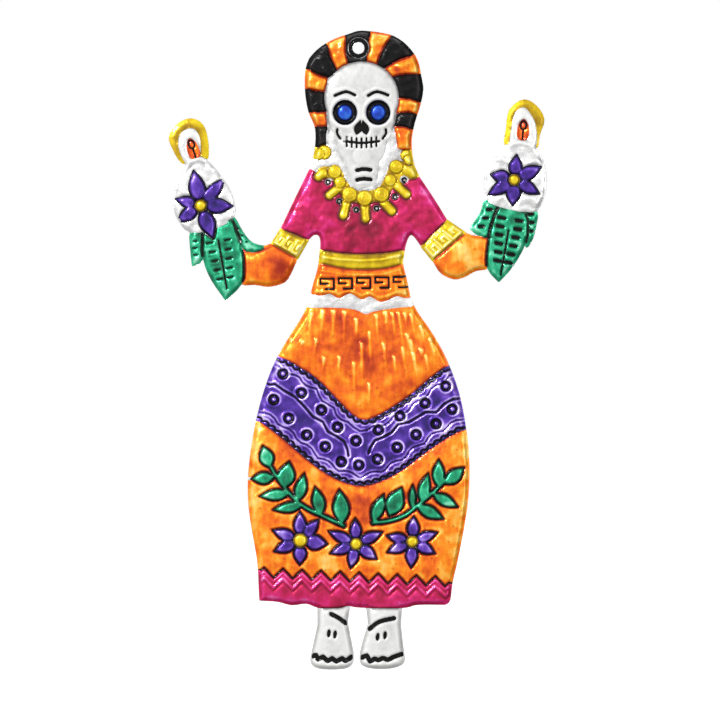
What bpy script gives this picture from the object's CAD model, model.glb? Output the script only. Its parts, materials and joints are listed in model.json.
"""Embossed and lacquered tin catrina: rounded hand-raised relief, brushed coats and bare tin.

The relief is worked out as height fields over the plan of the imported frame, in millimetres.
"""
import json
import math

import bpy
import numpy as np
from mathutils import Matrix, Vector


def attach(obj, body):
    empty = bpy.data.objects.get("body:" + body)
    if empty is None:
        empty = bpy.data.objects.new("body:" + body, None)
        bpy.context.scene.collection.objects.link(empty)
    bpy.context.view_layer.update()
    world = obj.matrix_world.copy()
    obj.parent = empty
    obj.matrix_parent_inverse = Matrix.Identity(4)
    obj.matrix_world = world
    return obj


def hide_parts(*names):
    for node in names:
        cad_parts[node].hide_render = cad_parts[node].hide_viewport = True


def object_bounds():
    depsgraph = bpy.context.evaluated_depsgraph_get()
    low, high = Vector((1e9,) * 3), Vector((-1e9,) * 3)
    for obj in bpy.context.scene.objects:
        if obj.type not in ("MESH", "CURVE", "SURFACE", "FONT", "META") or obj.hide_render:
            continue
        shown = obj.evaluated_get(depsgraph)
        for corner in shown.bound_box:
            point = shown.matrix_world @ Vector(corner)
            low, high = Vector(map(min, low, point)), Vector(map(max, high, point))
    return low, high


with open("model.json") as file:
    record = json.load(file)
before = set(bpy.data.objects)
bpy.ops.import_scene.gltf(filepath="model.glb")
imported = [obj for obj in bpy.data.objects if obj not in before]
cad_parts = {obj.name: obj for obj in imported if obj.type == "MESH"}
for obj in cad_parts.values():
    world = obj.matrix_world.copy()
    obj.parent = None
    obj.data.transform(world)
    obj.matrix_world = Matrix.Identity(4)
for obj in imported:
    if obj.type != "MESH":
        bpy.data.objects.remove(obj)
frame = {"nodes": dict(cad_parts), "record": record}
cad_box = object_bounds()
nodes = frame["nodes"]
slots = {s["node"]: s["material_slot"] for s in frame["record"]["subparts"]}

# ---------- the grid that the relief is worked out on, in millimetres ----------

STEP = 0.2
REACH = 1.8  # how far the distance fields run from an outline
MARGIN = 1.5  # room left round the object
SHEET_T = 0.3
COAT_T = 0.08
SLACK = 0.012  # how exactly a wall has the height asked for
LOW = np.array(cad_box[0]) * 1000
HIGH = np.array(cad_box[1]) * 1000
X0 = LOW[0] - MARGIN
Z0 = LOW[2] - MARGIN
COLS = int((HIGH[0] - LOW[0] + 2 * MARGIN) / STEP) + 2
ROWS = int((HIGH[2] - LOW[2] + 2 * MARGIN) / STEP) + 2
GX, GZ = np.meshgrid(X0 + np.arange(COLS) * STEP, Z0 + np.arange(ROWS) * STEP)


def walls(name, height):
    """Plan segments (x0, z0, x1, z1) of a node's walls that are exactly that high."""
    me = nodes[name].data
    me.calc_loop_triangles()
    v = np.empty(len(me.vertices) * 3)
    me.vertices.foreach_get("co", v)
    t = np.empty(len(me.loop_triangles) * 3, int)
    me.loop_triangles.foreach_get("vertices", t)
    tri = (v.reshape(-1, 3) * 1000)[t.reshape(-1, 3)]
    y = tri[:, :, 1]
    low = y.min(1)
    stands = np.abs(y.max(1) - low - height) < SLACK
    front = (y - low[:, None]) < 0.01
    tri, front = tri[stands], front[stands]
    seen_from_front = np.abs(np.cross(tri[:, 1] - tri[:, 0], tri[:, 2] - tri[:, 0])[:, 1])
    keep = (front.sum(1) == 2) & (seen_from_front < 1e-3)
    tri, front = tri[keep], front[keep]
    ends = tri[front].reshape(-1, 2, 3)[:, :, [0, 2]].reshape(-1, 4)
    return ends[np.hypot(ends[:, 2] - ends[:, 0], ends[:, 3] - ends[:, 1]) > 1e-4]


def signed(segments):
    """Distance to the segments, positive inside the outline they make, as far as REACH."""
    best = np.full((ROWS, COLS), REACH)
    flips = np.zeros((ROWS, COLS + 1), np.int32)
    pad = int(REACH / STEP) + 1
    for x0, z0, x1, z1 in segments:
        i0 = max(int((min(x0, x1) - X0) / STEP) - pad, 0)
        i1 = min(int((max(x0, x1) - X0) / STEP) + pad + 2, COLS)
        j0 = max(int((min(z0, z1) - Z0) / STEP) - pad, 0)
        j1 = min(int((max(z0, z1) - Z0) / STEP) + pad + 2, ROWS)
        px, pz = GX[j0:j1, i0:i1] - x0, GZ[j0:j1, i0:i1] - z0
        dx, dz = x1 - x0, z1 - z0
        t = np.clip((px * dx + pz * dz) / (dx * dx + dz * dz), 0, 1)
        near = best[j0:j1, i0:i1]
        np.minimum(near, np.hypot(px - t * dx, pz - t * dz), out=near)
        if z0 != z1:
            ja = math.ceil((min(z0, z1) - Z0) / STEP)
            jb = math.ceil((max(z0, z1) - Z0) / STEP)
            for j in range(ja, jb):
                x = x0 + (Z0 + j * STEP - z0) * dx / dz
                flips[j, math.ceil((x - X0) / STEP)] += 1
    inside = np.cumsum(flips, 1)[:, :COLS] % 2 == 1
    return np.where(inside, best, -best)


def blur(a, mm):
    """A near-Gaussian blur of that standard deviation, from three box passes each way."""
    n = max(int(round(mm / STEP)), 1)
    out = a.astype(float)
    for axis in (0, 1):
        for _ in range(3):
            edges = [(0, 0), (0, 0)]
            edges[axis] = (n + 1, n)
            c = np.moveaxis(np.cumsum(np.pad(out, edges, mode="edge"), axis), axis, 0)
            out = np.moveaxis((c[2 * n + 1:] - c[:-2 * n - 1]) / (2 * n + 1), 0, axis)
    return out


def ramp(a, low, high):
    """Smooth step from 0 at low to 1 at high."""
    t = np.clip((a - low) / (high - low), 0, 1)
    return t * t * (3 - 2 * t)


def bell(a, width):
    """1 where a is 0, falling off over that width on both sides."""
    return np.exp(-((a / width) ** 2))


def pillow(mask, mm):
    """A puffed field over a mask: 0 at its edge, 1 deep inside."""
    return np.clip(2 * blur(mask, mm) - 1, 0, 1) ** 0.8


def to_point(x, z):
    """Distance from a point."""
    return np.hypot(GX - x, GZ - z)


def to_line(points):
    """Distance from an open line through the points."""
    best = np.full((ROWS, COLS), 99.0)
    for (x0, z0), (x1, z1) in zip(points, points[1:]):
        dx, dz = x1 - x0, z1 - z0
        t = np.clip(((GX - x0) * dx + (GZ - z0) * dz) / max(dx * dx + dz * dz, 1e-9), 0, 1)
        np.minimum(best, np.hypot(GX - x0 - t * dx, GZ - z0 - t * dz), out=best)
    return best


def ridge(points, height, width):
    """A rounded tool line: raised where height is positive, pressed in where it is negative."""
    return height * bell(to_line(points), width)


def half_round(d, r):
    """A half-round form of radius r, at distance d from its middle: 1 there, 0 from r outwards."""
    return np.sqrt(np.clip(1 - (d / r) ** 2, 0, 1))


def waves(count, short, long, seed):
    """Smooth random waviness between two wavelengths, of about unit height."""
    g = np.random.default_rng(seed)
    out = np.zeros((ROWS, COLS))
    for _ in range(count):
        a = g.uniform(0, 2 * math.pi)
        w = g.uniform(short, long)
        p = g.uniform(0, 2 * math.pi)
        out += np.sin((GX * math.cos(a) + GZ * math.sin(a)) * 2 * math.pi / w + p)
    return out / math.sqrt(count)


# ---------- outlines, from the frame ----------

sheet = signed(walls("tin_sheet", SHEET_T))
coats = [n for n in nodes if n != "tin_sheet"]


def starts(*beginnings):
    """The coats whose names start with one of these."""
    return [n for n in coats if n.startswith(beginnings)]


# F holds each coat's outline as a distance field, positive inside it
F = {n: signed(walls(n, COAT_T)).astype(np.float32) for n in coats}
# corners of each cuff: top inner, top outer, foot outer, foot inner
CUFFS = {
    "cuff_left": [(-20.3, -47), (-13, -50), (-15.8, -54.9), (-22.7, -50.9)],
    "cuff_right": [(16.3, -51.7), (23.1, -44.7), (27.9, -48), (19.3, -55.4)],
}
for name, corners in CUFFS.items():
    F[name] = signed([(*a, *b) for a, b in zip(corners, corners[1:] + corners[:1])])

# coats that never run to the rim keep their outlines; every other coat is carried straight out to
# the rim, by reading its field a little further in wherever the rim is near
INLAND = starts("skull", "eye", "face", "sprig", "skirt_flower", "skirt_black", "hand_petals",
                "hand_flower", "hand_black", "halo", "flame", "wick", "foot_black")
RIM_W = 1.05
RIM_SHIFT = 1.4  # the furthest that a field is moved
slope_z, slope_x = np.gradient(sheet, STEP)
inward = np.clip(RIM_W - sheet, 0, RIM_SHIFT)
from_x = (GX + slope_x * inward - X0) / STEP
from_z = (GZ + slope_z * inward - Z0) / STEP
from_i = np.clip(from_x.astype(int), 0, COLS - 2)
from_j = np.clip(from_z.astype(int), 0, ROWS - 2)
part_i = np.clip(from_x - from_i, 0, 1)
part_j = np.clip(from_z - from_j, 0, 1)
for name in coats:
    if name not in INLAND:
        f = F[name]
        lower = f[from_j, from_i] * (1 - part_i) + f[from_j, from_i + 1] * part_i
        upper = f[from_j + 1, from_i] * (1 - part_i) + f[from_j + 1, from_i + 1] * part_i
        F[name] = lower * (1 - part_j) + upper * part_j

# INK lists the coats that are drawn as lines
INK = [n for n in coats if "lines" in n or "zigzag" in n]
INK += ["waistband_fret", "flounce_rings", "collar_picots", "wick_left", "wick_right"]

# the lines inside the flounce are lighter than those along its edges
from_edge = -np.maximum(F["skirt_upper_orange"], F["skirt_lower_orange"])
inner = 0.12 * ramp(from_edge, 1.1, 1.5)
F["flounce_black_lines"] = F["flounce_black_lines"] - inner - 0.07 * ramp(from_edge, 2.8, 3.4)
F["flounce_purple"] = F["flounce_purple"] + inner * (F["flounce_rings"] < -0.3)

# a flounce ring is inked as a crescent, thin on the side that catches the light, and that side
# turns from ring to ring
RINGS = [
    (-19.6, -84.7), (-14.8, -89.7), (-9.6, -94.1), (-5.4, -98.6), (-0.6, -102.1), (5.2, -99.3),
    (10.8, -95.7), (17.3, -92.3), (22.7, -87.9), (24.4, -93.9), (-22, -91.4), (-18.1, -96.3),
    (-13.4, -100.6), (-8.6, -103.6), (-4.4, -107.6), (0.1, -108.4), (5, -106.9), (10.1, -103.8),
    (15, -100.5), (20.2, -97.7),
]
RING_REACH = 2.3
lit_side = np.zeros((ROWS, COLS))
crescents = np.zeros((ROWS, COLS))
for k, (x, z) in enumerate(RINGS):
    d = to_point(x, z)
    turn = 1.3 * math.sin(2.4 * k) - 0.5
    facing = np.cos(np.arctan2(GZ - z, GX - x) + turn) * 0.5 + 0.5
    lit_side = np.where(d < RING_REACH, facing, lit_side)
    crescents += facing ** 2 * bell(d - 1.72, 0.24)
F["flounce_rings"] = F["flounce_rings"] - 0.04 - 0.14 * lit_side
F["collar_picots"] = F["collar_picots"] - 0.09

# the zigzag and the outlines round sprigs and petals are drawn fine, and the paint inside those
# outlines swells to meet them
FINE = 0.09
for name in ("skirt_black_lines", "hand_black_lines_left", "hand_black_lines_right", "hem_zigzag_line"):
    F[name] = F[name] - FINE
for name in starts("sprig", "skirt_flower", "hand_petals"):
    F[name] = F[name] + FINE

# below the rosettes the leaves and the forearms close up to one another
inner_leaf = GX > -34
outer_leaf = GX > 42
close_left = ramp(-GZ, np.where(inner_leaf, 43.5, 49.5), np.where(inner_leaf, 45.5, 51))
close_right = ramp(-GZ, np.where(outer_leaf, 42, 45), np.where(outer_leaf, 44, 47))
close = 0.7 * np.where(GX > 0, close_right, close_left)
# and so do the collar and the blouse at the right shoulder
shoulder = 1.4 * bell(to_point(12.6, -33.8), math.sqrt(6))

# G holds the same outlines once neighbours have met halfway: two coats overlap by a hair, and a
# coat with no neighbour spreads over the tin by the growth that it is allowed
HAIR = 0.045
SPREAD = 0.08
EDGE = 0.05  # bare edge of the sheet
stack = np.stack([F[n] for n in coats])
order = np.argsort(stack, 0)
first = np.take_along_axis(stack, order[-1:], 0)[0]
second = np.take_along_axis(stack, order[-2:-1], 0)[0]
owner = order[-1]
growth = {n: SPREAD for n in coats}
growth.update({n: SPREAD + close for n in starts("middle_leaf", "side_leaves", "forearm")})
growth.update({n: SPREAD + shoulder for n in ("blouse_magenta", "collar_yellow")})
G = {}
for k, name in enumerate(coats):
    rest = np.where(owner == k, second, first)
    met = np.minimum((F[name] - rest) / 2 + HAIR, F[name] + growth[name])
    G[name] = np.minimum(met, sheet - EDGE)
covered = np.max([G[n] for n in coats], 0)


def group(*names):
    """The area that some coats cover together."""
    return (np.max([G[n] for n in names], 0) > 0).astype(float)


# ---------- relief: H is the height of the embossing, lift what the tools add to the plain dome ----------

# a rounded rim, and a gentle swell over the whole figure, less of both at the candle flames
H = 0.35 * ramp(sheet, 0.1, 1.3) + 0.28 * pillow((sheet > 0).astype(float), 2.4)
flat = blur(group("halo_left", "halo_right", "flame_left", "flame_right"), 0.4)
H *= 1 - 0.75 * np.clip(flat * 1.3, 0, 1)
lift = np.zeros((ROWS, COLS))
# thin is above zero where the lacquer is brushed thin and pale, and below it where it lies thick
thin = np.zeros((ROWS, COLS))

# areas that are puffed up as one: coats, height, how far the puffing runs in
SIDES = ("left", "right")
PUFFED = [
    (["headwrap_orange_bands"], 0.6, 0.5),
    (["headwrap_black_bands"], 0.6, 0.5),
    (starts("skull", "eye", "face"), 0.62, 2.0),
    (["blouse_magenta"], 0.34, 1.4),
    (["belt_yellow"], 0.3, 0.6),
    (starts("waistband"), 0.3, 1.0),
    (["skirt_upper_orange"], 0.34, 1.8),
    (starts("flounce"), 0.42, 1.2),
    (starts("skirt_lower", "skirt_black", "sprig", "skirt_flower"), 0.32, 1.8),
    (["skirt_flower_left"], 0.4, 0.4),
    (["skirt_flower_middle"], 0.4, 0.4),
    (["skirt_flower_right"], 0.4, 0.4),
    (["skirt_flower_hearts"], 0.5, 0.4),
    (starts("hem"), 0.32, 1.0),
]
for side in SIDES:
    PUFFED += [
        (["cuff_" + side], 0.3, 0.6),
        (["forearm_" + side], 0.36, 1.2),
        (["halo_" + side], 0.1, 0.4),
        (["middle_leaf_" + side, "hand_black_lines_" + side], 0.3, 0.8),
        (["side_leaves_" + side], 0.24, 0.6),
        (["hand_petals_" + side], 0.5, 0.4),
        (["hand_flower_heart_" + side], 0.6, 0.4),
        (["sprig_" + side], 0.42, 0.4),
        (["foot_" + side, "foot_black_lines_" + side], 0.45, 1.2),
    ]
for names, height, mm in PUFFED:
    lift += height * pillow(group(*names), mm)

# the stylus line pressed between neighbouring fields of colour, where lacquer pools
fields = np.stack([G[n] for n in coats if n not in INK])
fields.sort(0)
gap = (fields[-1] - fields[-2]) / 2
near_coat = fields[-1] > -0.6
lift -= 0.16 * bell(gap, 0.26) * near_coat
pool = np.clip(bell(gap, 0.42) * near_coat, 0, 1) * ramp(sheet, 0.3, 1.0)

# ink lies in a groove with a low bank beside it
ink = np.max([G[n] for n in INK], 0)
lift -= 0.24 * np.clip(1.5 * blur(ink > 0, 0.2), 0, 1)
lift += 0.07 * bell(ink + 0.45, 0.22)

# collar and earrings: discs as (x, z, radius), drops as (x0, z0, x1, z1, radius)
DISCS = [
    (-2.3, -38.2, 2.1), (1.6, -39.1, 2.1), (6, -38.1, 2.1), (-4.8, -34.9, 1.6), (-6.2, -32.2, 1.8),
    (8.3, -34.4, 1.6), (9.8, -30.9, 1.8),
    (-8.9, -27.1, 1.9), (-10.3, -27.6, 1.5), (12.4, -27.9, 1.5), (13.1, -29.2, 1.35),
]
DROPS = [
    (-9.2, -32.6, -10.3, -33.4, 1.25), (-5.4, -36.6, -7.5, -38.3, 1.15), (-3.1, -40.4, -3.9, -43.5, 1.2),
    (1.7, -41, 1.9, -44.4, 1.2), (6.6, -40.2, 8.7, -42.4, 1.2), (10.2, -36, 12.5, -38.1, 1.15),
    (12.4, -31.4, 14.3, -32.4, 1.3),
]
jewel = np.zeros((ROWS, COLS))
for x0, z0, x1, z1, r in DROPS:
    d = to_line([(x0, z0), (x1, z1)])
    jewel = np.maximum(jewel, 0.42 * half_round(d, r) + 0.1 * bell(d, 0.35 * r) * (d < r))
for x, z, r in DISCS:
    d = to_point(x, z)
    jewel = np.where(d < r, 0.46 * np.clip(1 - (d / r) ** 2, 0, 1) ** 0.4, jewel)
    jewel -= 0.12 * bell(d - r * 0.55, 0.18) + 0.24 * bell(d - r, 0.2)
lift += jewel * (group(*starts("collar", "earring")) > 0)

# face: bowls for the eyes, a brow over each, cheekbones, the tooth row and a rounded chin
SKULL_X = 0.8
EYE_Z = -16.8
NOSE_Z = -20.76
MOUTH_Z = -24.72
EYE_X = 4.32
EYE_R = 2.0
TOOTH_W = 1.28
for s in (-1, 1):
    ex = SKULL_X + s * EYE_X
    d = to_point(ex, EYE_Z)
    brow = [(ex - 2.6, EYE_Z + 5.2), (ex - s * 0.3, EYE_Z + 6.2), (ex + 2.6, EYE_Z + 5.3)]
    cheekbone = [(SKULL_X + s * dx, NOSE_Z + dz) for dx, dz in ((3, 0), (5.6, 0.6), (8, 1.8))]
    hollow = [(SKULL_X + s * dx, NOSE_Z + dz) for dx, dz in ((4.4, -2), (6, -3.6))]
    lift -= 0.5 * (1 - ramp(d, 2.3, 3.5))
    lift += 0.5 * half_round(d, EYE_R)
    lift += 0.14 * bell(d - 3.8, 0.4)
    lift += ridge(brow, 0.14, 0.5)
    lift += ridge(cheekbone, 0.2, 0.9)
    lift -= ridge(hollow, 0.22, 1.1)
lift += ridge([(SKULL_X, EYE_Z + 1.5), (SKULL_X, NOSE_Z + 2.4)], 0.16, 0.8)
tooth_row = [(SKULL_X + dx, MOUTH_Z + dz) for dx, dz in ((-4.2, 0.3), (0, 0), (4.2, 0.3))]
lift += ridge(tooth_row, 0.22, 1.7)
lift += 0.22 * half_round(to_point(SKULL_X, MOUTH_Z - 3.4), 2.4)
for k in range(-3, 3):
    x = SKULL_X + (k + 0.5) * TOOTH_W
    for row in (-1, 1):
        lift += ridge([(x, MOUTH_Z + row * 0.9), (x, MOUTH_Z + row * 0.7)], 0.1, 0.4)

# flounce: each ring is a pressed moat round a raised bead, with a bright lip on its lit side
for x, z in RINGS:
    d = to_point(x, z)
    lift += 0.14 * bell(d - 1.75, 0.3)
    lift -= 0.26 * (1 - ramp(d, 1.05, 1.55))
    lift += 0.36 * np.exp(-((d / 0.72) ** 4))
on_flounce = G["flounce_purple"] > 0
beside = bell(F["flounce_black_lines"] + 0.36, 0.2) * ramp(from_edge, 0.7, 1.2) * on_flounce
lift += 0.1 * beside
thin += 0.3 * beside
thin += 0.42 * crescents + 0.07 * waves(36, 2.5, 6, 51) * on_flounce

# gathers that hang from the waist: x, top, foot, half width, height
GATHERS = [
    (-17.6, -75.6, -77, 0.5, 0.2), (-14.6, -76.3, -77.6, 0.5, 0.3), (-12.2, -69, -75.5, 0.5, 0.2),
    (-11, -75.8, -80.5, 0.42, 0.34), (-9.2, -68.3, -76.5, 0.6, 0.16), (-9, -80.6, -84.5, 0.45, 0.36),
    (-6.4, -68.4, -76, 0.5, 0.28), (-5, -80.4, -85.6, 0.42, 0.36), (-3.6, -68.6, -77.5, 0.5, 0.28),
    (-1.2, -82, -93, 0.5, 0.14), (-0.6, -70.5, -77, 0.45, 0.3), (0.7, -76.8, -89.5, 0.45, 0.34),
    (2.7, -87.4, -91.6, 0.42, 0.36), (2.8, -74, -86, 0.4, 0.16), (4.6, -69.4, -78, 0.4, 0.24),
    (6.5, -77, -84.5, 0.4, 0.36), (7, -68.6, -74.5, 0.4, 0.28), (8.8, -69, -76.5, 0.35, 0.26),
    (9.2, -80.3, -85.4, 0.4, 0.34), (10.4, -68.8, -79, 0.35, 0.24), (11.4, -78, -88, 0.4, 0.14),
    (12, -69, -73.5, 0.35, 0.28), (12.6, -74.6, -77.5, 0.45, 0.34), (13.4, -76, -83, 0.5, 0.2),
    (13.6, -69.2, -75.5, 0.35, 0.24), (14.2, -79.5, -86, 0.42, 0.26), (16.2, -72.4, -76.4, 0.42, 0.3),
    (16.2, -78.5, -80.2, 0.6, 0.34), (17.4, -80, -85.4, 0.4, 0.16), (18.6, -75.6, -81.5, 0.4, 0.26),
    (20.4, -76, -77.4, 0.6, 0.24),
]
for x, top, foot, w, height in GATHERS:
    lean = 0.03 + 0.012 * (x - SKULL_X)  # they fan out from the middle of the figure
    d = to_line([(x, top), (x + lean * (top - foot), foot)])
    head = ramp(GZ, foot, top)
    fade = head ** 0.7 * (0.5 + 0.5 * bell(GZ - top, 1.1))
    fold = fade * bell(d, w * (0.45 + 0.35 * head))
    lift += 1.1 * height * fold
    thin += 0.5 * fold

# folds across the belt and the waistband, and the wavy edge of the bare band under them
lift += ridge([(-10.4, -54.2), (-5, -55), (1, -55.3), (6, -55), (12.2, -53.7)], 0.3, 0.4)
lift -= ridge([(-10.4, -53.2), (-5, -54.1), (1, -54.4), (6, -54.1), (12.2, -52.9)], 0.14, 0.3)
lift += ridge([(-11.2, -57.6), (-5, -58.6), (1, -59), (6, -58.8), (12.4, -57.3)], 0.16, 0.35)
lift += ridge([(-12.4, -63.3), (-9.6, -63.4), (-7.4, -62.9), (-5, -64.1), (-2.2, -62.9), (0.8, -64.4),
               (3, -63.7), (5.6, -65), (8, -64.4), (10, -63.5), (13.4, -64)], 0.2, 0.35)

# a raised step fret round each cuff, between two pressed lines
KEY = [(0.06, 0.2), (0.06, 0.84), (0.3, 0.84), (0.3, 0.42), (0.18, 0.42), (0.18, 0.62)]
KEY_PITCH = 0.32


def on_cuff(corners, u, v):
    """The point a share u along the cuff and a share v down it."""
    a, b, c, d = (np.array(p) for p in corners)
    top = a + (b - a) * u
    foot = d + (c - d) * u
    return tuple(top + (foot - top) * v)


for corners in CUFFS.values():
    for k in range(3):
        key = ridge([on_cuff(corners, KEY_PITCH * k + u, v) for u, v in KEY], 1, 0.3)
        lift += 0.3 * key
        thin += 0.28 * key
    for v in (0.1, 0.93):
        lift -= ridge([on_cuff(corners, 0.02, v), on_cuff(corners, 0.98, v)], 0.14, 0.22)

# chevrons under the hem's zigzag: drop below it, height
for drop, height in ((1.0, 0.16), (2.6, 0.26), (3.5, -0.14)):
    n = int(round(drop / STEP))
    lowered = np.full((ROWS, COLS), -REACH)
    lowered[:-n] = F["hem_zigzag_line"][n:]
    lift += height * bell(np.minimum(lowered, 0.1) - 0.1, 0.32) * (G["hem_magenta"] > -0.2)

# hands: the candle's rim and the folds of the bare rosette, as line, height, width
HAND_FOLDS = [
    ([(-45.2, -31.2), (-43.6, -29.3), (-41.4, -28.6), (-39.4, -29.5), (-38.2, -31.2)], 0.3, 0.4),
    ([(-44.6, -32.2), (-43, -30.4), (-41.2, -29.8), (-39.8, -30.5)], -0.2, 0.45),
    ([(-36.2, -33), (-38.2, -35.6)], 0.3, 0.6),
    ([(-47.4, -36.4), (-44.8, -37.6)], 0.28, 0.6),
    ([(-33.4, -44), (-36.8, -44.4)], 0.26, 0.6),
    ([(-45.2, -47.4), (-43.4, -44.6)], 0.24, 0.6),
    ([(38.2, -25.9), (40, -24.9), (42.2, -24.5), (44.5, -25.2), (46.3, -26.9)], 0.3, 0.4),
    ([(35, -28.8), (37.5, -28.9), (39.4, -30)], 0.3, 0.45),
    ([(44, -29.8), (46.2, -29.2), (47.8, -30.2)], 0.3, 0.45),
    ([(34.6, -36), (36.2, -35.4)], 0.24, 0.6),
    ([(43.6, -38.8), (46.4, -40.4)], 0.28, 0.7),
    ([(36, -39.6), (37.6, -38.4)], 0.24, 0.6),
]
for line, height, width in HAND_FOLDS:
    lift += ridge(line, height, width)
# the swelling of each candle: x, z, tilt in degrees
for x, z, tilt in ((-43, -26.3, 18), (42.8, -21.4, -4)):
    a = math.radians(tilt)
    across = (GX - x) * math.cos(a) + (GZ - z) * math.sin(a)
    along = (GZ - z) * math.cos(a) - (GX - x) * math.sin(a)
    lift += 0.22 * bell(across, 1.2) * bell(along, 2.2)

# feet: a tendon down each ankle, then a row of toes
TOES_Z = -160
for x in (-5.6, 6.1):
    lift += ridge([(x, -147.5), (x - 0.5 * np.sign(x), -156.5)], 0.12, 1.6)
    for k in range(-2, 3):
        lift += 0.16 * half_round(to_point(x + 1.995 * k, TOES_Z), 1.0)

# thin washes, and patches laid on thick where strength is below zero: x, z, reach, strength
WASHES = [
    (-46, -23, 5, -0.22), (44, -18, 6, -0.22), (-14, -36, 3, 0.06), (17, -38, 3, 0.12), (1, -47, 6, -0.2),
    (-8, -48, 4, 0.05), (28.5, -53.5, 5, 0.34), (-20, -57, 3.2, -0.4), (22.5, -57.4, 2.6, -0.14),
    (-28, -58, 3, 0.05), (-7.5, -70, 2, -0.22), (-4.2, -70.5, 2.2, -0.22), (18, -73, 3, 0.14),
    (-15, -74, 3, 0.1), (-2, -75, 6, -0.1), (3.5, -80, 6, -0.14), (12, -83, 3, 0.08), (0.6, -92.5, 3, 0.16),
    (-25.5, -97, 2, 0.2), (-26.5, -104, 4, 0.26), (27.5, -104, 4, 0.2), (-12, -112, 3, 0.12),
    (12, -112, 3, 0.12), (-26, -116, 4, 0.2), (0.6, -118.5, 3, -0.34), (26, -120, 4, 0.12),
    (0.8, -123, 2, -0.2), (-23, -128, 4, 0.16), (23, -130, 4, 0.12), (-9, -133.5, 4, 0.22),
    (8, -134, 4, 0.2),
]
for x, z, r, strength in WASHES:
    thin += strength * bell(to_point(x, z), r)
PETALS = ["skirt_flower_left", "skirt_flower_middle", "skirt_flower_right"]
thin -= 0.12 * group(*starts("sprig"))
thin -= 0.07 * group(*PETALS)
thin -= 0.08 * group(*starts("hand_petals"))
thin += 0.05 * group("skirt_lower_orange")
thin += 0.06 * waves(40, 3, 9, 21) + 0.16 * (1 - ramp(sheet, 0.3, 1.6)) * (covered > 0)

# hand-worked unevenness, livelier on the bare metal, the blouse and the hair
bare = 1 - ramp(covered, -0.2, 0.3)
hair = blur(group(*starts("headwrap")), 0.4)
blouse = blur(group("blouse_magenta"), 0.6)
lift += 0.035 * waves(40, 4, 11, 3) + 0.018 * waves(40, 1.6, 3.4, 5)
lift += 0.05 * bare * waves(36, 2.2, 5.5, 9)
lift += 0.03 * blouse * waves(36, 1.6, 4, 41)
lift += 0.07 * bare * np.minimum(np.abs(waves(30, 3.5, 9, 31)), 1.2)
lift += 0.09 * hair * waves(36, 1.8, 4.5, 13)
H = H + ramp(sheet, 0.15, 1.2) * lift
H = np.maximum(blur(H, 0.2) * 0.35 + H * 0.65, 0)

# the punch leaves the metal round the hole flat, with a small rolled lip
from_hole = to_point(0, 0)
land = 1 - ramp(from_hole, 2.3, 3.4)
H = H * (1 - land) + land * (0.1 + 0.1 * bell(from_hole - 1.85, 0.3))
DEEPEST = 2.1
H = np.minimum(H, DEEPEST)

# how far each point stands above its surroundings, round a middle value
relief = np.clip(0.46 + 1.3 * (H - blur(H, 0.45)) + 0.16 * (H - blur(H, 1.6)), 0, 1)


# ---------- meshes ----------

def marching_squares(inside):
    """Polygons over the cells inside an outline, and the segments of its rim, as corner numbers.

    With n grid points, grid point k is corner k, the crossing between it and the next point in its
    row is corner n + k, and the crossing between it and the next point in its column 2n + k.
    """
    rows, cols = inside.shape
    n = rows * cols
    code = inside[:-1, :-1] * 1 + inside[:-1, 1:] * 2 + inside[1:, 1:] * 4 + inside[1:, :-1] * 8
    j, i = np.nonzero(code)
    code = code[j, i]
    base = j * cols + i
    # the corners met on the way round a cell: a grid point, a crossing, a grid point and so on
    corners = [
        base, n + base,
        base + 1, 2 * n + base + 1,
        base + cols + 1, n + base + cols,
        base + cols, 2 * n + base,
    ]
    faces = []
    rim = []
    for case in range(1, 16):
        cells = code == case
        if not cells.any():
            continue
        turn = []
        for k in range(4):
            here = case >> k & 1
            there = case >> (k + 1) % 4 & 1
            if here:
                turn.append(2 * k)
            if here != there:
                turn.append(2 * k + 1)
        faces.append(np.stack([corners[s][cells] for s in turn], 1))
        for a, b in zip(turn, turn[1:] + turn[:1]):
            if a % 2 and b % 2:
                rim.append(np.stack([corners[a][cells], corners[b][cells]], 1))
    return faces, np.concatenate(rim)


def new_mesh(name, points, polygons):
    """A mesh from points in metres and arrays of polygons, each with one number of corners."""
    sizes = np.concatenate([np.full(len(p), p.shape[1]) for p in polygons])
    loops = np.concatenate([p.ravel() for p in polygons])
    first_loop = np.concatenate([[0], np.cumsum(sizes)[:-1]])
    me = bpy.data.meshes.new(name)
    me.vertices.add(len(points))
    me.vertices.foreach_set("co", points.astype(np.float32).ravel())
    me.loops.add(len(loops))
    me.loops.foreach_set("vertex_index", loops.astype(np.int32))
    me.polygons.add(len(sizes))
    me.polygons.foreach_set("loop_start", first_loop.astype(np.int32))
    me.update(calc_edges=True)
    me.validate()
    return me


SHARP = math.radians(62)  # a steeper turn than this between two faces is shaded as an edge
LEAST = 0.1  # a crossing stays this share of a cell away from a grid point, so that no face is a sliver


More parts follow.
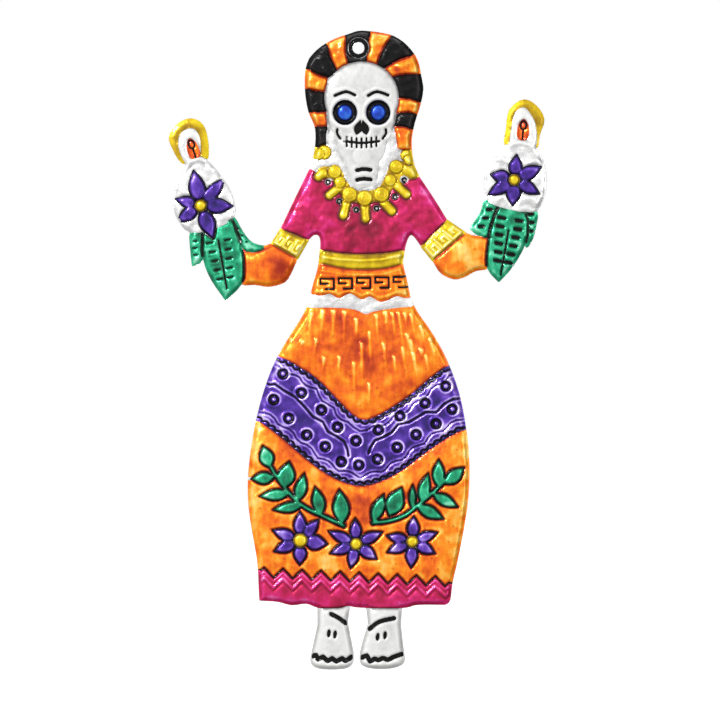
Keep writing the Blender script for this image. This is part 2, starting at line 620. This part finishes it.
def shell(name, g, front, back, values, step=1):
    """A closed piece over the area where g is positive, between two height fields in mm."""
    g, front, back = g[::step, ::step], front[::step, ::step], back[::step, ::step]
    pitch = STEP * step
    inside = g > 0
    g = np.where(inside, np.maximum(g, LEAST * pitch), np.minimum(g, -LEAST * pitch))
    faces, rim = marching_squares(inside)
    used = np.unique(np.concatenate([f.ravel() for f in faces]))
    kind, at = used // g.size, used % g.size
    j, i = at // g.shape[1], at % g.shape[1]
    j2, i2 = j + (kind == 2), i + (kind == 1)
    t = np.where(kind == 0, 0, g[j, i] / np.where(kind == 0, 1, g[j, i] - g[j2, i2]))

    def at_corners(a):
        return a[j, i] * (1 - t) + a[j2, i2] * t

    m = len(used)
    points = np.zeros((2 * m, 3))
    points[:, 0] = np.tile(X0 + (i + (i2 - i) * t) * pitch, 2)
    points[:, 2] = np.tile(Z0 + (j + (j2 - j) * t) * pitch, 2)
    points[:m, 1] = -at_corners(front)
    points[m:, 1] = -at_corners(back)
    fronts = [np.searchsorted(used, f) for f in faces]
    backs = [f[:, ::-1] + m for f in fronts]
    a, b = np.searchsorted(used, rim).T
    me = new_mesh(name, points / 1000, fronts + backs + [np.stack([b, a, a + m, b + m], 1)])
    for key, field in values.items():
        stored = me.attributes.new(key, "FLOAT", "POINT").data
        stored.foreach_set("value", np.tile(at_corners(field[::step, ::step]), 2).astype(np.float32))
    me.polygons.foreach_set("use_smooth", np.ones(len(me.polygons), bool))
    me.set_sharp_from_angle(angle=SHARP)
    o = bpy.data.objects.new(name, me)
    bpy.context.scene.collection.objects.link(o)
    return o


# ---------- material nodes ----------

def linear(r, g, b):
    """Scene-linear values of an 8-bit sRGB colour."""
    return tuple(c / 255 / 12.92 if c <= 10 else ((c / 255 + 0.055) / 1.055) ** 2.4 for c in (r, g, b))


def material(name):
    """A new material with its tree, its shader, and the place on the object in millimetres."""
    mat = bpy.data.materials.new(name)
    mat.use_nodes = True
    nt = mat.node_tree
    nt.nodes.clear()
    out = nt.nodes.new("ShaderNodeOutputMaterial")
    bsdf = nt.nodes.new("ShaderNodeBsdfPrincipled")
    nt.links.new(bsdf.outputs[0], out.inputs[0])
    coord = nt.nodes.new("ShaderNodeTexCoord")
    mm = nt.nodes.new("ShaderNodeVectorMath")
    mm.operation = "SCALE"
    mm.inputs["Scale"].default_value = 1000
    nt.links.new(coord.outputs["Object"], mm.inputs[0])
    return mat, nt, bsdf, mm.outputs[0]


def noise(nt, where, scale, detail=3, rough=0.55, stretch=None):
    """Cloudy noise from 0 to 1, drawn out along an axis where stretch is below 1."""
    if stretch:
        m = nt.nodes.new("ShaderNodeMapping")
        m.inputs["Scale"].default_value = stretch
        nt.links.new(where, m.inputs[0])
        where = m.outputs[0]
    t = nt.nodes.new("ShaderNodeTexNoise")
    t.inputs["Scale"].default_value = scale
    t.inputs["Detail"].default_value = detail
    t.inputs["Roughness"].default_value = rough
    nt.links.new(where, t.inputs["Vector"])
    return t.outputs[0]


def attribute(nt, name):
    """One of the values that shell() stores on the points."""
    a = nt.nodes.new("ShaderNodeAttribute")
    a.attribute_name = name
    return a.outputs["Fac"]


def colours(nt, fac, stops):
    """A colour ramp through (position, 8-bit sRGB colour) stops."""
    r = nt.nodes.new("ShaderNodeValToRGB")
    r.color_ramp.interpolation = "B_SPLINE" if len(stops) > 3 else "LINEAR"
    while len(r.color_ramp.elements) < len(stops):
        r.color_ramp.elements.new(0.5)
    for e, (position, colour) in zip(r.color_ramp.elements, stops):
        e.position = position
        e.color = (*linear(*colour), 1)
    nt.links.new(fac, r.inputs[0])
    return r.outputs[0]


def spread(nt, fac, low, high, a=0.0, b=1.0):
    """A value moved from the range low to high to the range a to b, and held inside it."""
    m = nt.nodes.new("ShaderNodeMapRange")
    for k, v in zip(("From Min", "From Max", "To Min", "To Max"), (low, high, a, b)):
        m.inputs[k].default_value = v
    nt.links.new(fac, m.inputs[0])
    return m.outputs[0]


def mix(nt, fac, a, b):
    """A colour between a and b, either of which may be a fixed colour."""
    m = nt.nodes.new("ShaderNodeMix")
    m.data_type = "RGBA"
    nt.links.new(fac, m.inputs[0])
    for k, v in ((6, a), (7, b)):
        if isinstance(v, tuple):
            m.inputs[k].default_value = (*v, 1)
        else:
            nt.links.new(v, m.inputs[k])
    return m.outputs[2]


def combine(nt, operation, a, b):
    """Two values added or multiplied."""
    m = nt.nodes.new("ShaderNodeMath")
    m.operation = operation
    nt.links.new(a, m.inputs[0])
    nt.links.new(b, m.inputs[1])
    return m.outputs[0]


def add(nt, *terms):
    """Sum of (value, weight, offset) terms: each is (value + offset) times weight."""
    total = None
    for value, weight, offset in terms:
        m = nt.nodes.new("ShaderNodeMath")
        m.operation = "MULTIPLY_ADD"
        nt.links.new(value, m.inputs[0])
        m.inputs[1].default_value = weight
        m.inputs[2].default_value = offset * weight
        total = combine(nt, "ADD", total, m.outputs[0]) if total else m.outputs[0]
    return total


def specks(nt, p, scale, size, strength):
    """Scattered round specks: strength inside one, 0 elsewhere."""
    v = nt.nodes.new("ShaderNodeTexVoronoi")
    v.inputs["Scale"].default_value = scale
    nt.links.new(p, v.inputs["Vector"])
    return spread(nt, v.outputs["Distance"], size * 0.6, size, strength, 0)


def roughness(nt, bsdf, pattern, low, high):
    """Uneven gloss: the middle of a noise pattern is spread over the roughness from low to high."""
    nt.links.new(spread(nt, pattern, 0.3, 0.7, low, high), bsdf.inputs["Roughness"])


def bump(nt, bsdf, *layers):
    """Fine surface detail from (height, strength, distance in metres) layers."""
    last = None
    for height, strength, distance in layers:
        b = nt.nodes.new("ShaderNodeBump")
        b.inputs["Strength"].default_value = strength
        b.inputs["Distance"].default_value = distance
        nt.links.new(height, b.inputs["Height"])
        if last:
            nt.links.new(last, b.inputs["Normal"])
        last = b.outputs[0]
    nt.links.new(last, bsdf.inputs["Normal"])


# ---------- materials ----------

# tones of each lacquer, from where it pools to where it is brushed thin
TONE_AT = (0.12, 0.36, 0.54, 0.7, 0.95)
LACQUERS = {
    "orange": [(160, 34, 0), (226, 86, 0), (252, 124, 0), (255, 168, 22), (255, 222, 130)],
    "magenta": [(92, 0, 34), (164, 8, 58), (202, 20, 88), (226, 44, 140), (255, 150, 210)],
    "yellow": [(132, 98, 0), (192, 154, 0), (224, 194, 0), (242, 214, 30), (255, 240, 150)],
    "purple": [(16, 6, 52), (48, 22, 118), (80, 42, 160), (124, 82, 206), (220, 202, 250)],
    "green": [(0, 44, 28), (2, 112, 76), (12, 158, 110), (56, 200, 150), (184, 250, 220)],
    "blue": [(2, 8, 50), (6, 26, 110), (12, 52, 168), (22, 82, 206), (70, 140, 240)],
}
STREAKY = {"orange": 0.3}  # how strongly the brush shows, where it isn't the usual
CLOUDY = {"magenta": 0.5, "yellow": 0.5}  # how uneven the tone is, where it isn't the usual
USUAL_STREAKS = 0.22
USUAL_CLOUDS = 0.75


def lacquer(colour):
    """Translucent glossy paint over tin, deep where it pools in the tool lines."""
    mat, nt, bsdf, p = material(colour + "_lacquer")
    tones = LACQUERS[colour]
    cloud = noise(nt, p, 0.3, 3, 0.55)
    brush = noise(nt, p, 1.1, 2, 0.5, (1, 1, 0.25))
    fac = add(
        nt,
        (attribute(nt, "relief"), 1, 0),
        (attribute(nt, "thin"), 1, 0),
        (cloud, CLOUDY.get(colour, USUAL_CLOUDS), -0.5),
        (brush, STREAKY.get(colour, USUAL_STREAKS), -0.5),
        (attribute(nt, "pool"), -0.3, 0),
    )
    tone = colours(nt, fac, list(zip(TONE_AT, tones)))
    tone = mix(nt, specks(nt, p, 0.42, 0.16, 0.4), tone, linear(*tones[0]))
    nt.links.new(tone, bsdf.inputs["Base Color"])
    bsdf.inputs["Metallic"].default_value = 0.5
    bsdf.inputs["Specular IOR Level"].default_value = 0.35
    bsdf.inputs["Coat Weight"].default_value = 0.28
    bsdf.inputs["Coat Roughness"].default_value = 0.06
    roughness(nt, bsdf, noise(nt, p, 0.9, 2), 0.2, 0.36)
    brushed = noise(nt, p, 1.1, 3, 0.55, (1, 1, 0.6))
    bump(nt, bsdf, (brushed, 0.6, 0.0001), (noise(nt, p, 4, 3), 0.35, 0.00003))
    return mat


def enamel_white():
    """Bone-white enamel, greyed in the tool lines."""
    mat, nt, bsdf, p = material("white_enamel")
    fac = add(
        nt,
        (attribute(nt, "relief"), 1, 0),
        (noise(nt, p, 0.5, 4), 0.25, -0.5),
        (attribute(nt, "pool"), -0.2, 0),
    )
    tone = colours(nt, fac, [(0.12, (120, 120, 120)), (0.36, (186, 186, 185)), (0.5, (210, 210, 208)),
                             (0.8, (230, 230, 229))])
    tone = mix(nt, specks(nt, p, 0.5, 0.1, 0.4), tone, linear(150, 146, 140))
    nt.links.new(tone, bsdf.inputs["Base Color"])
    bsdf.inputs["Coat Weight"].default_value = 0.4
    bsdf.inputs["Coat Roughness"].default_value = 0.1
    roughness(nt, bsdf, noise(nt, p, 1.1, 2), 0.22, 0.38)
    brushed = noise(nt, p, 0.9, 3, 0.6, (1, 1, 0.5))
    bump(nt, bsdf, (brushed, 0.6, 0.00012), (noise(nt, p, 4, 3), 0.35, 0.00003))
    return mat


def enamel_black():
    """Glossy black line enamel."""
    mat, nt, bsdf, p = material("black_enamel")
    fac = add(nt, (attribute(nt, "relief"), 1, 0), (noise(nt, p, 0.8, 4), 0.4, -0.5))
    tone = colours(nt, fac, [(0.2, (4, 4, 5)), (0.55, (14, 13, 14)), (0.95, (52, 48, 48))])
    nt.links.new(tone, bsdf.inputs["Base Color"])
    bsdf.inputs["Specular IOR Level"].default_value = 0.16
    roughness(nt, bsdf, noise(nt, p, 0.7, 2), 0.08, 0.2)
    bump(nt, bsdf, (noise(nt, p, 0.9, 2), 0.9, 0.00016), (noise(nt, p, 3, 1), 0.2, 0.00002))
    return mat


def bare_tin():
    """Tinplate, brushed by handling."""
    mat, nt, bsdf, p = material("bare_tin")
    fac = add(nt, (attribute(nt, "relief"), 1, 0), (noise(nt, p, 0.35, 5, 0.65), 0.3, -0.5))
    tone = colours(nt, fac, [(0.15, (128, 128, 130)), (0.4, (222, 222, 222)), (0.58, (240, 240, 239)),
                             (0.85, (250, 250, 250))])
    nt.links.new(tone, bsdf.inputs["Base Color"])
    bsdf.inputs["Metallic"].default_value = 0.75
    streaks = noise(nt, p, 2.4, 4, 0.6, (0.25, 1, 1))
    roughness(nt, bsdf, streaks, 0.2, 0.4)
    dents = noise(nt, p, 0.6, 3)
    grain = noise(nt, p, 6, 2)
    bump(nt, bsdf, (dents, 0.6, 0.0002), (streaks, 0.2, 0.00002), (grain, 0.2, 0.00001))
    return mat


MATS = {"lacquer_" + colour: lacquer(colour) for colour in LACQUERS}
MATS["enamel_white"] = enamel_white()
MATS["enamel_black"] = enamel_black()
MATS["tin"] = bare_tin()

# ---------- the pieces ----------

INK_T = 0.1
ROOT = 0.15  # how far a coat reaches down into the sheet
SUNK = 0.2  # the sheet lies this much deeper under the coats, so that none of it shows through them
under = ramp(blur(covered > 0, 0.3), 0.4, 0.8)
front = H + SHEET_T - SUNK * under
back = np.maximum(blur(H, 0.3) - SUNK * under, 0)
tin = shell("embossed_sheet", sheet, front, back, {"relief": relief}, 2)
made = [(tin, "tin_sheet")]
for n in coats:
    full = INK_T if n in INK else COAT_T
    thick = full * (0.3 + 0.7 * (1 - np.exp(-np.maximum(G[n], 0) / 0.12)))  # rounded over at its edge
    values = {"relief": relief, "pool": pool, "thin": thin}
    made.append((shell("coat_" + n, G[n], H + SHEET_T + thick, H + SHEET_T - ROOT, values), n))
for o, n in made:
    o.data.materials.append(MATS[slots[n]])
    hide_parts(n)
    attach(o, "root")

# ---------- camera, floor and light, in metres ----------

scene = bpy.context.scene
CENTRE = Vector((0.0004, 0, -0.0811))
CAMERA_AWAY = 1.6
HALF_VIEW = 0.0936
FLOOR_Z = -0.42
FLOOR_REACH = 12
KEY_SIDE = (-0.42, -0.8, 0.42)  # the way to the brightest part of the studio


def place(name, data, at):
    """A new object at that point of the scene."""
    o = bpy.data.objects.new(name, data)
    scene.collection.objects.link(o)
    o.location = at
    return o


def area_light(name, at, power):
    """A light that faces down, of that many watts."""
    light = place(name, bpy.data.lights.new(name, "AREA"), at)
    light.data.energy = power
    return light


def softbox(name, at, size, power):
    """A rectangular light turned towards the middle of the figure."""
    light = area_light(name, at, power)
    light.data.shape = "RECTANGLE"
    light.data.size, light.data.size_y = size
    light.rotation_euler = (CENTRE - Vector(at)).to_track_quat("-Z", "Y").to_euler()


def paper():
    """Paper lit from within up to the white of the backdrop."""
    mat, nt, bsdf, p = material("floor_paper")
    mottle = spread(nt, noise(nt, p, 0.02, 3), 0.3, 0.7)
    nt.links.new(mix(nt, mottle, linear(238, 238, 238), linear(243, 243, 243)), bsdf.inputs["Base Color"])
    bsdf.inputs["Roughness"].default_value = 0.8
    bsdf.inputs["Emission Color"].default_value = (1, 1, 1, 1)
    bsdf.inputs["Emission Strength"].default_value = 0.8
    return mat


def studio():
    """White behind the figure; round it, light that comes mostly from one side and in soft patches."""
    world = bpy.data.worlds.new("studio")
    world.use_nodes = True
    nt = world.node_tree
    nt.nodes.clear()
    out = nt.nodes.new("ShaderNodeOutputWorld")
    seen = nt.nodes.new("ShaderNodeBackground")
    seen.inputs[0].default_value = (1, 1, 1, 1)
    lit = nt.nodes.new("ShaderNodeBackground")
    way = nt.nodes.new("ShaderNodeTexCoord").outputs["Generated"]
    toward = nt.nodes.new("ShaderNodeVectorMath")
    toward.operation = "DOT_PRODUCT"
    toward.inputs[1].default_value = KEY_SIDE
    nt.links.new(way, toward.inputs[0])
    soft = spread(nt, toward.outputs["Value"], 0.0, 0.95, 0.3, 1.02)
    patches = spread(nt, noise(nt, way, 3.2, 2), 0.35, 0.6, 0.72, 1.15)
    nt.links.new(combine(nt, "MULTIPLY", soft, patches), lit.inputs[0])
    rays = nt.nodes.new("ShaderNodeLightPath")
    pick = nt.nodes.new("ShaderNodeMixShader")
    nt.links.new(rays.outputs["Is Camera Ray"], pick.inputs[0])
    nt.links.new(lit.outputs[0], pick.inputs[1])
    nt.links.new(seen.outputs[0], pick.inputs[2])
    nt.links.new(pick.outputs[0], out.inputs[0])
    return world


cam = place("camera", bpy.data.cameras.new("camera"), (CENTRE.x, -CAMERA_AWAY, CENTRE.z))
cam.rotation_euler = (math.radians(90), 0, 0)
cam.data.angle = 2 * math.atan(HALF_VIEW / CAMERA_AWAY)
cam.data.clip_start = 0.05
cam.data.clip_end = 20
scene.camera = cam

corners = [(x * FLOOR_REACH, y * FLOOR_REACH, FLOOR_Z) for x, y in ((-1, -1), (1, -1), (1, 1), (-1, 1))]
ground = bpy.data.meshes.new("floor")
ground.from_pydata(corners, [], [(0, 1, 2, 3)])
ground = place("floor", ground, (0, 0, 0))
ground.data.materials.append(paper())
# the figure neither mirrors the floor nor is lit by it
ground.visible_diffuse = False
ground.visible_glossy = False

scene.world = studio()
softbox("key", (-0.62, -1.25, 0.47), (0.25, 0.25), 13)
softbox("fill", (0.9, -1.1, 0.1), (0.5, 0.8), 3)
softbox("back", (0.4, 1.2, 0.6), (0.9, 0.9), 12)
top_light = area_light("top", (0, 1.4, 2.2), 75)
top_light.data.size = 3
scene.view_settings.view_transform = "Standard"
scene.view_settings.look = "None"

bpy.context.view_layer.update()
